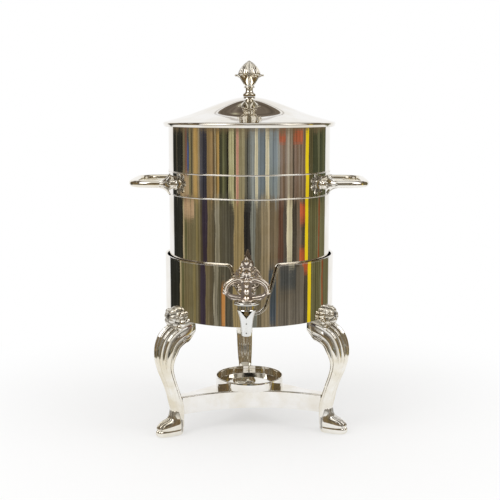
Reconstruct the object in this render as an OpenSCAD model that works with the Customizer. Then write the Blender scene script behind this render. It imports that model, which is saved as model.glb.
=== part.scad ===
/* [Urn] */
// Outside diameter of the round urn
urn_d = 216; // [200:1:224]
// Height of the urn from its foot to its open rim
urn_h = 248; // [230:1:280]
// Thickness of the urn's sheet metal
urn_wall = 1.5; // [1:0.1:2]
// Height of the plain band round the urn
band_h = 28.5; // [24:0.5:40]
// Height of the band's lower edge above the urn's foot
band_z = 160; // [140:1:180]
// How far the band stands out of the urn
band_out = 0.6; // [0.4:0.1:1.5]
// Depth of the hollow under the urn's floor
foot_h = 10; // [8:0.5:16]

/* [Lid] */
// Outside diameter of the lid
lid_d = 230; // [228:1:240]
// Slope of the lid's conical part, in degrees
lid_slope = 20; // [14:0.5:24]
// Radius that rounds the lid's crown
crown_r = 122; // [80:1:160]
// Height of the lid's upright edge
lid_edge = 6.5; // [4:0.5:10]
// Thickness of the lid's sheet metal
lid_wall = 1.5; // [1:0.1:2]
// Depth of the collar that goes into the urn
collar_h = 14; // [8:1:24]
// Gap between the collar and the urn
collar_gap = 0.8; // [0.4:0.1:1.5]

/* [Finial] */
// Width of the finial's bud
bud_d = 30; // [22:1:34]
// Height of the bud above its collar
bud_h = 32; // [28:1:40]
// Height of the finial's stem
stem_h = 13; // [10:0.5:20]
// Diameter of the stem at its waist
stem_d = 10; // [8:0.5:13]

/* [Handles] */
// How far the handles reach out from the urn's axis
handle_reach = 158; // [150:1:175]
// Distance between the two ends of a handle
handle_span = 114; // [100:1:124]
// Thickness of a handle's bar
handle_bar = 9; // [7:0.5:11]

/* [Spigot] */
// Height of the spigot's shank above the urn's foot
spigot_z = 32.5; // [31:0.5:40]
// Distance from the urn's wall to the plug's axis
spigot_out = 31.5; // [31:0.5:38]
// Outside diameter of the barrel
barrel_d = 22; // [20:0.5:26]
// Diameter of the shank that goes through the urn's wall
shank_d = 14; // [12:0.5:16]
// Diameter of the neck between the wall and the barrel
neck_d = 9; // [8:0.5:9.5]
// Diameter of the bore that the water runs through
port_d = 5; // [3:0.5:6]
// Length of the spout below the barrel
spout_l = 33.5; // [26:0.5:36]
// Diameter of the spout's mouth
mouth_d = 11.3; // [10:0.1:14]
// Large diameter of the tapered plug
plug_d = 13; // [12:0.1:14]
// Running clearance of the plug in the barrel, on the radius
plug_fit = 0.05; // [0.02:0.01:0.1]
// Width of the pierced key
key_w = 58; // [48:1:58]
// Thickness of the pierced key
key_t = 4; // [3:0.5:6]

/* [Stand] */
// Turn of the stand under the urn
stand_turn = 4.6; // [0:0.2:6]
// Height of the jacket's lower edge above the floor
jacket_z = 156; // [140:1:170]
// Height of the jacket
jacket_h = 79.5; // [70:0.5:90]
// Gap between the urn and the jacket
jacket_gap = 4.3; // [4:0.1:8]
// Thickness of the jacket's sheet metal
jacket_wall = 1.5; // [1:0.1:2]
// Width of the notch at the jacket's upper edge
notch_w = 60.6; // [54:0.2:70]
// Slope of the notch's sides, sideways for each unit of height
notch_slope = 0.286; // [0.2:0.002:0.32]
// Radius that rounds the notch's upper corners
notch_corner = 7; // [4:0.5:9]

/* [Legs] */
// Reach of the knees from the stand's axis
knee_reach = 148; // [144:1:156]
// Reach of the toes from the stand's axis
toe_reach = 150; // [146:1:160]
// Width of a leg at its ankle
ankle_w = 21; // [18:0.5:24]
// Width of a leg at its knee
knee_w = 29; // [24:0.5:34]
// Width of the ball at the top of a leg
scroll_d = 31; // [26:0.5:34]

/* [Platform and fuel cup] */
// Height of the platform's top above the floor
platform_z = 51; // [44:1:70]
// Depth of the platform's skirt
platform_h = 24; // [20:1:30]
// Distance from the axis to the middle of the platform's sides
platform_mid = 37.5; // [34:0.5:44]
// Thickness of the platform's sheet metal
platform_wall = 2; // [1.5:0.1:3]
// Inside diameter of the fuel cup
cup_d = 90; // [84:1:92]
// Height of the fuel cup
cup_h = 12; // [8:0.5:20]
// Thickness of the fuel cup's wall
cup_wall = 1.5; // [1:0.1:2.5]

/* [Fastenings] */
// Diameter of the screws
screw_d = 5; // [4:0.5:5]
// Diameter of the screws' heads and the nuts
head_d = 9; // [8:0.5:9.5]
// Thickness of the screws' heads
head_t = 2.6; // [2:0.1:3]
// Thickness of the washers
washer_t = 0.8; // [0.5:0.1:1]

/* [Hidden] */
$fn = 96;
eps = 0.01;
silver = [0.80, 0.77, 0.72];
silver_dark = [0.66, 0.62, 0.56];
brass = [0.72, 0.60, 0.36];
rubber = [0.12, 0.12, 0.12];

// Radii and heights that the pieces share.
urn_r = urn_d / 2;
jacket_in = urn_r + jacket_gap;
jacket_r = jacket_in + jacket_wall;
ledge_t = 2;
urn_z = jacket_z + ledge_t;
rim_z = urn_z + urn_h;
shell_in = urn_r - urn_wall;
foot_in = shell_in - urn_wall;

// Legs: azimuths, and where their screws go.
leg_angles = [210 + stand_turn, 330 + stand_turn, 90 + stand_turn];
arm_r = 107;
screw_r = jacket_in - 14.5;
bracket_r = 89;
wing_w = 48;

// ---- Stand -------------------------------------------------------------------------------

// Points of an arc about [x, y], from one angle to another.
function arc(x, y, r, from, to, steps) =
    [for (k = [0:steps]) let (a = from + (to - from) * k / steps) [x + r * cos(a), y + r * sin(a)]];

// The notch is a wedge with a round bottom on the spigot's axis and eased upper corners.
// It is drawn upright, with its height along Y, and goes through the jacket's front.
module notch() {
    lean = atan(notch_slope);
    top = jacket_h;
    low = spigot_z + ledge_t;
    r = (notch_w / 2 - notch_slope * (top - low)) * cos(lean);
    ease = notch_w / 2 + notch_corner * tan((90 - lean) / 2);
    right = concat(arc(0, low, r, -90, -lean, 6),
        arc(ease, top - notch_corner, notch_corner, 180 - lean, 90, 5), [[ease, top + 2]]);
    n = len(right);
    linear_extrude(height = jacket_r + 10)
        polygon(concat(right, [for (i = [n - 1:-1:1]) [-right[i][0], right[i][1]]]));
}

module jacket() {
    color(silver) rotate(stand_turn) translate([0, 0, jacket_z]) difference() {
        cylinder(r = jacket_r, h = jacket_h);
        translate([0, 0, -1]) cylinder(r = jacket_in, h = jacket_h + 2);
        rotate([90, 0, 0]) notch();
    }
}

// The ledge carries the urn's foot, and a low lip inside the foot keeps it central.
module jacket_ledge() {
    lip_out = foot_in - 0.6;
    lip_h = 4;
    color(silver_dark) translate([0, 0, jacket_z]) difference() {
        union() {
            cylinder(r = jacket_in, h = ledge_t);
            cylinder(r = lip_out, h = ledge_t + lip_h);
        }
        translate([0, 0, -1]) cylinder(r = bracket_r, h = ledge_t + lip_h + 2);
        translate([0, 0, ledge_t]) cylinder(r = lip_out - 1.5, h = lip_h + 1);
        for (a = leg_angles) rotate(a) translate([screw_r, 0, -1])
            cylinder(d = screw_d + 0.4, h = ledge_t + 2);
    }
}

// One leg's stations, from the ankle to the bracket: [radius, height, half depth, half width,
// tilt of the section from level].
function leg_stations() = let (k = knee_reach - 148, f = jacket_z - 156, w = knee_w / 2)
    [[115.5, 12, 9, ankle_w / 2, 0],
     [115.5, 28, 9, ankle_w / 2, 0],
     [118.2, 44, 8.8, ankle_w / 2 + 0.1, -8],
     [123.4, 60, 8.2, ankle_w / 2 + 0.3, -20],
     [129.4, 76, 8.2, ankle_w / 2 + 0.7, -20],
     [134.0, 91, 10.0, ankle_w / 2 + 1.2, -10],
     [135.0 + k * 0.6, 105 + f * 0.5, 13.2, w - 1.5, 6],
     [132.2 + k * 0.8, 118 + f * 0.8, 16.0, w, 26],
     [124.6 + k * 0.8, 129 + f, 17.0, w + 0.5, 46],
     [113.5 + k * 0.4, 136.5 + f, 17, w - 1, 66],
     [101.0, 140.5 + f, 17, w - 3.5, 82],
     [bracket_r + 5, 142.5 + f, 13.5, w - 5.5, 90],
     [bracket_r, 143 + f, 9, w - 8.5, 90]];

// Catmull-Rom blend of a list of stations, at s counted in stations.
function blend(p, s) = let (i = min(floor(s), len(p) - 2), t = s - i,
        a = p[max(i - 1, 0)], b = p[i], c = p[i + 1], d = p[min(i + 2, len(p) - 1)])
    0.5 * (2 * b + (c - a) * t + (2 * a - 5 * b + 4 * c - d) * t * t
        + (3 * b - a - 3 * c + d) * t * t * t);

// A closed tube through stations given as [x, z, half depth, half width, tilt].
module swept_bar(stations, steps, sides) {
    n = (len(stations) - 1) * steps;
    rings = [for (k = [0:n]) blend(stations, k / steps)];
    points = [for (q = rings) for (j = [0:sides - 1]) let (a = 360 * j / sides)
        [q[0] + q[2] * cos(a) * cos(q[4]), q[3] * sin(a), q[1] + q[2] * cos(a) * sin(q[4])]];
    walls = [for (k = [0:n - 1]) for (j = [0:sides - 1]) let (m = (j + 1) % sides)
        each [[k * sides + j, (k + 1) * sides + j, (k + 1) * sides + m],
              [k * sides + j, (k + 1) * sides + m, k * sides + m]]];
    foot_cap = [[for (j = [0:sides - 1]) j]];
    top_cap = [[for (j = [sides - 1:-1:0]) n * sides + j]];
    polyhedron(points, concat(walls, foot_cap, top_cap));
}

// The paw: a heel and a spread toe, flat on the floor.
module paw() {
    heel = ankle_w / 2;
    toe_w = 13;
    hull() {
        translate([115.5, 0, 16]) sphere(r = heel, $fn = 20);
        translate([116, 0, 0]) cylinder(r = heel - 2.5, h = 6, $fn = 20);
        for (side = [-1, 1]) translate([toe_reach - 8, side * (toe_w - 8), 8])
            sphere(r = 8, $fn = 16);
        translate([toe_reach - 10, 0, 0]) cylinder(r = 8, h = 4, $fn = 20);
    }
}

module leg(angle) {
    color(silver) rotate(angle) difference() {
        union() {
            swept_bar(leg_stations(), 2, 16);
            paw();
            translate([arm_r - 1, -9, platform_z - platform_h]) cube([12, 18, platform_h]);
            translate([jacket_r + 1, 0, jacket_z + 2.5]) sphere(d = scroll_d, $fn = 28);
            translate([jacket_r, -wing_w / 2, jacket_z + 2]) rotate([-90, 0, 0])
                cylinder(r = 7, h = wing_w, $fn = 24);
        }
        translate([0, 0, jacket_z]) cylinder(r = jacket_r, h = jacket_h);
        translate([0, 0, platform_z - platform_h]) cylinder(r = arm_r, h = platform_h);
        translate([0, -knee_w, -scroll_d]) cube([toe_reach, 2 * knee_w, scroll_d]);
        translate([screw_r, 0, jacket_z - 12]) cylinder(d = screw_d, h = 13);
        translate([arm_r - 1, 0, platform_z - platform_h / 2]) rotate([0, 90, 0])
            cylinder(d = screw_d, h = 11);
    }
}

module leg_front_left() leg(leg_angles[0]);
module leg_front_right() leg(leg_angles[1]);
module leg_rear() leg(leg_angles[2]);

// A pan-headed screw, head up, with its seat at z = 0.
module pan_screw(length) {
    translate([0, 0, -length]) cylinder(d = screw_d, h = length + eps);
    difference() {
        cylinder(d = head_d, h = head_t);
        translate([-head_d / 2, -0.6, head_t - 1]) cube([head_d, 1.2, 2]);
    }
}

module ledge_screws() {
    color(silver_dark) for (a = leg_angles) rotate(a)
        translate([screw_r, 0, jacket_z + ledge_t]) pan_screw(ledge_t + 9);
}

// The platform's outline: three concave sides between arms that end at the legs.
function side_r() = let (x = arm_r * sin(60) - 5.5, y = arm_r * cos(60) + 9.5, s = y - platform_mid)
    (x * x + s * s) / (2 * s);

module platform_body(inset, low, high) {
    r = side_r();
    translate([0, 0, low]) difference() {
        cylinder(r = arm_r - inset, h = high - low);
        for (a = leg_angles) rotate(a + 60) translate([platform_mid + r, 0, -1])
            cylinder(r = r + inset, h = high - low + 2);
    }
}

module screw_passages() {
    for (a = leg_angles) rotate(a)
        translate([arm_r - 6, 0, platform_z - platform_h / 2]) rotate([0, 90, 0])
            cylinder(d = screw_d + 0.4, h = 8);
}

// The platform is a level sheet with the cup's screw hole in its middle.
module platform() {
    color(silver) difference() {
        platform_body(0, platform_z - platform_wall, platform_z);
        fuel_cup_screw_body(cone_fit);
    }
}

// Its skirt is brazed under the sheet's edge and runs all the way round.
module platform_skirt() {
    low = platform_z - platform_h;
    color(silver) difference() {
        platform_body(0, low, platform_z - platform_wall);
        platform_body(platform_wall, low - 1, platform_z);
        screw_passages();
    }
}

// Each head bears on the round inside of an arm's end by its two outer edges.
module platform_screws() {
    arm_in = arm_r - platform_wall;
    seat = sqrt(arm_in * arm_in - head_d * head_d / 4);
    color(silver_dark) for (a = leg_angles) rotate(a)
        translate([seat, 0, platform_z - platform_h / 2]) rotate([0, -90, 0])
            pan_screw(arm_in - seat + platform_wall + 8);
}

cup_floor = 1.5;
cone_fit = 0.05;

module fuel_cup() {
    color(silver) difference() {
        translate([0, 0, platform_z]) cylinder(d = cup_d + 2 * cup_wall, h = cup_h);
        translate([0, 0, platform_z + cup_floor]) cylinder(d = cup_d, h = cup_h);
        fuel_cup_screw_body(cone_fit);
    }
}

// A countersunk screw, flush with the cup's floor so that a can stands level on it.
module fuel_cup_screw_body(fit) {
    r = screw_d / 2 + fit;
    long = cup_floor + platform_wall + 7;
    translate([0, 0, platform_z + cup_floor]) {
        translate([0, 0, -long]) cylinder(r = r, h = long);
        translate([0, 0, -cup_floor]) cylinder(r1 = r, r2 = r + cup_floor, h = cup_floor);
        if (fit > 0) cylinder(r = r + cup_floor, h = 1);
    }
}

module fuel_cup_screw() {
    slot_w = 1.2;
    color(silver_dark) difference() {
        fuel_cup_screw_body(0);
        translate([-head_d, -slot_w / 2, platform_z + cup_floor - 0.7]) cube([2 * head_d, slot_w, 1]);
    }
}

module hex_nut(across, height, hole) {
    difference() {
        cylinder(d = across / cos(30), h = height, $fn = 6);
        translate([0, 0, -1]) cylinder(d = hole, h = height + 2);
    }
}

module fuel_cup_nut() {
    color(brass) translate([0, 0, platform_z - platform_wall - 4]) hex_nut(8, 4, screw_d);
}

// ---- Urn ---------------------------------------------------------------------------------

handle_z = urn_z + band_z + band_h / 2;
shank_z = urn_z + spigot_z;
plug_y = -(urn_r + spigot_out);
handle_flat = sqrt(urn_r * urn_r - handle_span * handle_span / 4) + 0.5;

module ring(outer, inner, height) {
    difference() {
        cylinder(r = outer, h = height);
        translate([0, 0, -1]) cylinder(r = inner, h = height + 2);
    }
}

// Places a child, drawn pointing along +Z, at each of the four ends of the handles.
module at_handle_ends() {
    for (side = [0, 180]) rotate(side) for (end = [-1, 1])
        translate([0, end * handle_span / 2, handle_z]) rotate([0, 90, 0]) children();
}

module urn_shell() {
    color(silver) difference() {
        translate([0, 0, urn_z]) ring(urn_r, shell_in, urn_h);
        translate([0, 0, shank_z]) rotate([90, 0, 0]) cylinder(d = shank_d + 0.6, h = urn_r + 5);
        at_handle_ends() cylinder(d = screw_d + 0.4, h = urn_r + 5);
    }
}

module urn_floor() {
    color(silver_dark) translate([0, 0, urn_z + foot_h - urn_wall])
        cylinder(r = shell_in, h = urn_wall);
}

// The foot ring is soldered inside the wall, under the floor.
module urn_foot() {
    color(silver_dark) translate([0, 0, urn_z])
        ring(shell_in, foot_in, foot_h - urn_wall);
}

module handle_band() {
    color(silver) difference() {
        translate([0, 0, urn_z + band_z]) ring(urn_r + band_out, urn_r, band_h);
        at_handle_ends() cylinder(d = screw_d + 0.4, h = urn_r + 5);
    }
}

module band_beads() {
    bead = 1.6;
    color(silver) for (z = [urn_z + band_z - bead, urn_z + band_z + band_h])
        translate([0, 0, z]) ring(urn_r + band_out + 0.5, urn_r, bead);
}

// The handle is a level loop: a bar with two round corners, and on each arm a bead by the
// urn and a leaf collar that flares towards it. Its feet are cut to the band.
module handle(side) {
    e = handle_bar / 2;
    corner = 26;
    arm_x = handle_reach - e - corner;
    collar_x = handle_flat + 12;
    start = urn_r * 0.6;
    color(silver) rotate(side) translate([0, 0, handle_z]) difference() {
        union() {
            for (end = [0, 1]) mirror([0, end, 0]) {
                translate([arm_x, handle_span / 2 - corner, 0]) rotate_extrude(angle = 90)
                    translate([corner, 0]) circle(r = e, $fn = 48);
                translate([start, handle_span / 2, 0]) rotate([0, 90, 0])
                    cylinder(r = e, h = arm_x - start, $fn = 48);
                translate([collar_x - 6, handle_span / 2, 0]) rotate([0, 90, 0])
                    cylinder(r = e + 2, h = 5, $fn = 48);
                translate([collar_x, handle_span / 2, 0]) rotate([0, 90, 0])
                    cylinder(r1 = e + 8, r2 = e + 0.5, h = 18, $fn = 48);
            }
            translate([handle_reach - e, corner - handle_span / 2, 0]) rotate([-90, 0, 0])
                cylinder(r = e, h = handle_span - 2 * corner, $fn = 48);
        }
        translate([0, 0, -band_h / 2]) cylinder(r = urn_r + band_out, h = band_h);
        for (end = [-1, 1]) translate([start, end * handle_span / 2, 0])
            rotate([0, 90, 0]) cylinder(d = screw_d, h = handle_flat + 14 - start);
    }
}

module handle_right() handle(0);
module handle_left() handle(180);

// Each screw goes out through a wedge washer, cut to the urn's inside, into the handle.
washer_x = sqrt(shell_in * shell_in - pow(handle_span / 2 + head_d / 2 + 1, 2)) - 1;

module handle_washers() {
    color(silver_dark) intersection() {
        at_handle_ends() difference() {
            cylinder(d = head_d + 2, h = urn_r);
            translate([0, 0, -1]) cylinder(d = screw_d + 0.4, h = urn_r + 2);
            translate([0, 0, -1]) cylinder(d = head_d + 4, h = washer_x + 1);
        }
        translate([0, 0, handle_z - 20]) cylinder(r = shell_in, h = 40, $fn = 720);
    }
}

module handle_screws() {
    color(silver_dark) for (side = [0, 180]) rotate(side) for (end = [-1, 1])
        translate([washer_x, end * handle_span / 2, handle_z]) rotate([0, -90, 0])
            pan_screw(handle_flat + 12 - washer_x);
}

// ---- Spigot ------------------------------------------------------------------------------

barrel_h = 10;
barrel_z = shank_z - barrel_h / 2;
flange_d = barrel_d + 10;
flange_h = 3;
plug_low_d = plug_d - 1.6;
tail_d = 7;
wall_flange_d = 20;
wall_flange_t = 1.8;
gasket_t = 1.5;
shank_in = urn_r - 17;

// Draws its children along -Y from the urn's axis at the shank's height.
module along_shank() {
    translate([0, 0, shank_z]) rotate([90, 0, 0]) children();
}

module spigot_body() {
    mouth_r = mouth_d / 2;
    top_r = barrel_d / 2;
    wall = 1.6;
    hollow = spout_l - 2.5;
    notch_r = 7.4;
    color(silver) difference() {
        union() {
            along_shank() {
                translate([0, 0, shank_in]) cylinder(d = shank_d, h = urn_r + gasket_t + 1 - shank_in);
                translate([0, 0, urn_r + gasket_t]) cylinder(d = wall_flange_d, h = wall_flange_t);
                translate([0, 0, urn_r]) cylinder(d = neck_d, h = spigot_out - plug_d / 2);
            }
            translate([0, plug_y, barrel_z]) cylinder(d = barrel_d, h = barrel_h);
            translate([0, plug_y, barrel_z + barrel_h - flange_h]) cylinder(d = flange_d, h = flange_h);
            translate([0, plug_y, barrel_z - spout_l])
                cylinder(r1 = mouth_r, r2 = top_r, h = spout_l);
        }
        along_shank() translate([0, 0, shank_in - 1]) cylinder(d = port_d, h = -plug_y - shank_in + 1);
        translate([0, plug_y, barrel_z]) cylinder(r1 = plug_low_d / 2 + plug_fit,
            r2 = plug_d / 2 + plug_fit, h = barrel_h);
        translate([0, plug_y, barrel_z - 3]) cylinder(d = tail_d + 1, h = 4);
        translate([0, plug_y, barrel_z - spout_l - eps]) cylinder(r1 = mouth_r - wall,
            r2 = mouth_r + (top_r - mouth_r) * hollow / spout_l - wall, h = hollow + eps);
        translate([0, plug_y, barrel_z]) rotate([90, 0, 0]) linear_extrude(height = 20)
            polygon([[-notch_r, -0.8], [notch_r, -0.8], [0, -10.2]]);
    }
}

module saddle(r_in, r_out, size, hole) {
    difference() {
        along_shank() cylinder(d = size, h = r_out);
        translate([0, 0, shank_z - size]) cylinder(r = r_in, h = 2 * size, $fn = 720);
        along_shank() cylinder(d = hole, h = r_out + 5);
    }
}

module spigot_outer_gasket() {
    color(rubber) saddle(urn_r, urn_r + gasket_t, wall_flange_d - 1, shank_d);
}

// Inside the urn a rubber and a washer back the nut, with their outer faces on the wall.
inner_flat = shell_in - 4;

module spigot_inner_gasket() {
    color(rubber) intersection() {
        along_shank() difference() {
            translate([0, 0, inner_flat]) cylinder(d = 22, h = 10);
            cylinder(d = shank_d, h = urn_r + 5);
        }
        translate([0, 0, shank_z - 20]) cylinder(r = shell_in, h = 40, $fn = 720);
    }
}

module spigot_washer() {
    color(silver_dark) along_shank() translate([0, 0, inner_flat - 1.2]) difference() {
        cylinder(d = 22, h = 1.2);
        translate([0, 0, -1]) cylinder(d = shank_d, h = 4);
    }
}

module spigot_nut() {
    color(brass) along_shank() translate([0, 0, inner_flat - 1.2 - 6]) hex_nut(20, 6, shank_d);
}

// ---- Key ---------------------------------------------------------------------------------

// Half of the key's outline, from the hub's foot round the side lobe to the crown's tip. All
// of it stays above the neck, so that the key turns freely.
tier_w = 26;
leaf_w = 14;

function key_half() = let (w = key_w / 2, t = tier_w / 2, l = leaf_w / 2)
    [[5.5, 0], [w - 12, 1], [w - 10, -0.5], [w - 7, -0.5], [w - 5, 2],
     [w - 2, 8], [w, 14], [w - 2, 18], [w - 9, 22], [t, 27], [t, 34], [l + 1.5, 37], [l, 43],
     [l - 3, 45.5], [l - 3, 49], [0, 53]];

module key_outline() {
    half = key_half();
    n = len(half);
    difference() {
        polygon(concat(half, [for (i = [n - 2:-1:0]) [-half[i][0], half[i][1]]]));
        for (side = [-1, 1]) scale([side, 1])
            polygon([[7, 5], [key_w / 4, 4], [key_w / 2 - 7.5, 8], [key_w / 2 - 8, 14],
                [key_w / 4, 17.5], [8, 18]]);
    }
}

// The key stands on a tapered plug whose side port meets the shank's bore when it is open.
module spigot_key() {
    hub_d = 15;
    hub_z = barrel_z + barrel_h;
    hub_h = 5;
    thread_h = 9;
    color(silver) translate([0, plug_y, 0]) difference() {
        union() {
            translate([0, 0, barrel_z]) cylinder(r1 = plug_low_d / 2, r2 = plug_d / 2, h = barrel_h);
            translate([0, 0, hub_z - eps]) cylinder(d = plug_d, h = 0.4);
            translate([0, 0, hub_z + 0.3]) cylinder(d = hub_d + 6, h = 2.2);
            translate([0, 0, hub_z + 2]) cylinder(d = hub_d - 4, h = hub_h + 3);
            translate([0, key_t / 2, hub_z + 2]) rotate([90, 0, 0])
                linear_extrude(height = key_t) key_outline();
            translate([0, 0, barrel_z - thread_h]) cylinder(d = tail_d, h = thread_h + 1);
        }
        translate([0, 0, barrel_z - thread_h - 1]) cylinder(d = port_d - 1, h = thread_h + 1 + barrel_h / 2);
        translate([0, 0, shank_z]) rotate([0, 90, 0]) cylinder(d = port_d, h = barrel_d);
    }
}

// The washer and nut under the barrel keep the plug in, with a running gap to the barrel.
washer_z = barrel_z - 2.6 - washer_t;

module plug_washer() {
    color(brass) translate([0, plug_y, washer_z]) difference() {
        cylinder(d = 11, h = washer_t);
        translate([0, 0, -1]) cylinder(d = tail_d, h = 3);
    }
}

module plug_nut() {
    color(brass) translate([0, plug_y, washer_z - 4]) hex_nut(10.5, 4, tail_d);
}

// ---- Lid ---------------------------------------------------------------------------------

lid_r = lid_d / 2;
crown_flat = 9;
edge_z = rim_z + lid_edge;
crown_z = edge_z + lid_r * tan(lid_slope) - crown_r * (1 / cos(lid_slope) - 1)
    - crown_r + sqrt(crown_r * crown_r - crown_flat * crown_flat);

// Outline of the lid from a lower edge, inset by a wall: upright edge, cone, round crown,
// small flat on top.
function lid_outline(inset, low) = let (top = edge_z + lid_r * tan(lid_slope)
        - crown_r * (1 / cos(lid_slope) - 1), r = crown_r - inset, c = top - crown_r,
        first = asin(crown_flat / crown_r))
    concat([[0, low], [lid_r - inset, low],
        [lid_r - inset, edge_z + inset * (tan(lid_slope) - 1 / cos(lid_slope))]],
        [for (k = [8:-1:0]) let (a = first + (lid_slope - first) * k / 8) [r * sin(a), c + r * cos(a)]],
        [[0, c + r * cos(first)]]);

module lid_shell() {
    color(silver) difference() {
        rotate_extrude() polygon(lid_outline(0, rim_z));
        rotate_extrude() polygon(lid_outline(lid_wall, rim_z - 1));
        translate([0, 0, rim_z]) cylinder(d = screw_d + 0.4, h = crown_z - rim_z + 1);
    }
}

// The collar drops into the urn's mouth, and its flange rests on the rim.
module lid_collar() {
    flange_t = 1.5;
    collar_r = shell_in - collar_gap;
    color(silver_dark) translate([0, 0, rim_z]) difference() {
        union() {
            translate([0, 0, -collar_h]) cylinder(r = collar_r, h = collar_h + flange_t);
            cylinder(r = lid_r - lid_wall, h = flange_t);
        }
        translate([0, 0, -collar_h - 1]) cylinder(r = collar_r - lid_wall, h = collar_h + flange_t + 2);
    }
}

// The finial: flared foot, waisted stem, collar and an egg-shaped bud ringed by leaf tips.
module finial() {
    bud_z = stem_h + 2.4;
    r = bud_d / 2;
    egg = [for (a = [25:12.5:175]) [r * sin(a) * (1 + 0.1 * cos(a)), bud_z + bud_h / 2 * (0.9 - cos(a))]];
    color(silver) translate([0, 0, crown_z]) union() {
        translate([0, 0, -11]) cylinder(d = screw_d, h = 12);
        rotate_extrude() polygon(concat([[0, 0], [8.2, 0], [8.2, 1.4], [stem_d / 2 + 1, 4],
            [stem_d / 2, stem_h * 0.6], [stem_d / 2 + 0.6, stem_h], [8, stem_h + 0.5],
            [8, bud_z]], egg, [[0, bud_z + bud_h / 2 * 1.9]]));
        for (k = [0:5]) rotate(60 * k) translate([r + 1, 0, bud_z + bud_h * 0.45]) sphere(r = 1.8);
    }
}

module finial_washer() {
    color(silver_dark) translate([0, 0, crown_z - lid_wall - washer_t]) difference() {
        cylinder(d = 14, h = washer_t);
        translate([0, 0, -1]) cylinder(d = screw_d, h = 3);
    }
}

module finial_nut() {
    color(brass) translate([0, 0, crown_z - lid_wall - washer_t - 4]) hex_nut(8, 4, screw_d);
}

jacket();
jacket_ledge();
leg_front_left();
leg_front_right();
leg_rear();
ledge_screws();
platform();
platform_skirt();
platform_screws();
fuel_cup();
fuel_cup_screw();
fuel_cup_nut();
urn_shell();
urn_floor();
urn_foot();
handle_band();
band_beads();
handle_left();
handle_right();
handle_screws();
handle_washers();
spigot_body();
spigot_outer_gasket();
spigot_inner_gasket();
spigot_washer();
spigot_nut();
spigot_key();
plug_washer();
plug_nut();
lid_shell();
lid_collar();
finial();
finial_washer();
finial_nut();
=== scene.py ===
import math
import bpy
import mathutils
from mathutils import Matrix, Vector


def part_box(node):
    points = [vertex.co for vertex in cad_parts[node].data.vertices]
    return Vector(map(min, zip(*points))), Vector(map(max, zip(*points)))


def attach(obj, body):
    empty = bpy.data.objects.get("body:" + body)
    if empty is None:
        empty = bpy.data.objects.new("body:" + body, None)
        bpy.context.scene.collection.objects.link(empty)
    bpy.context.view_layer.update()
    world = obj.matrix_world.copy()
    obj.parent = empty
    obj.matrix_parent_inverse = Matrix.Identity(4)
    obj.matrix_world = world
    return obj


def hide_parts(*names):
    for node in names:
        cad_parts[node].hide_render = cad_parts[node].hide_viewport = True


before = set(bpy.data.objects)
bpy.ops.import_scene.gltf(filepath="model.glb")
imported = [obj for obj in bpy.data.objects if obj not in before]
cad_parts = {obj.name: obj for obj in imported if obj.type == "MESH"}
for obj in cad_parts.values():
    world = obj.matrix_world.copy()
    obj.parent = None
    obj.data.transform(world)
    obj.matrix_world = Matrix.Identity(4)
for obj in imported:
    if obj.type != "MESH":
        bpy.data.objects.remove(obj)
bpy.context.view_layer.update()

# ---------------------------------------------------------------- jacket
# The sleeve that the urn stands in: a silver plated sheet rolled round and seamed, with a
# notch cut at the front for the spigot, and its upper edge turned in over a wire.
def add_node(tree, kind, sockets=None, **settings):
    """Adds a shader node. Each socket named gets a value, or the output that feeds it."""
    new = tree.nodes.new("ShaderNode" + kind)
    for key, value in settings.items():
        setattr(new, key, value)
    for key, value in (sockets or {}).items():
        if isinstance(value, bpy.types.NodeSocket):
            tree.links.new(value, new.inputs[key])
        elif isinstance(value, tuple) and new.inputs[key].type == "RGBA":
            new.inputs[key].default_value = value + (1,)
        else:
            new.inputs[key].default_value = value
    return new


def add_noise(tree, at, scale, detail, **more):
    sockets = {"Vector": at, "Scale": scale, "Detail": detail, **more}
    return add_node(tree, "TexNoise", sockets).outputs["Fac"]


def add_ramp(tree, fac, dark, light, start=0.0, end=1.0):
    """The shades of a finish, from its darkest to its lightest."""
    ramp = add_node(tree, "ValToRGB", {"Fac": fac})
    for stop, at, shade in zip(ramp.color_ramp.elements, (start, end), (dark, light)):
        stop.position, stop.color = at, tuple(shade) + (1,)
    return ramp.outputs["Color"]


def map_range(value, low, high, out_low, out_high):
    sockets = {"Value": value, "From Min": low, "From Max": high, "To Min": out_low, "To Max": out_high}
    return add_node(value.id_data, "MapRange", sockets).outputs["Result"]


def new_finish(name, metallic):
    """A new material: itself, its node tree, its shader, and the place it is read at."""
    material = bpy.data.materials.new(name)
    material.use_nodes = True
    tree = material.node_tree
    shader = tree.nodes["Principled BSDF"]
    shader.inputs["Metallic"].default_value = metallic
    return material, tree, shader, add_node(tree, "TexCoord").outputs["Object"]


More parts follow.
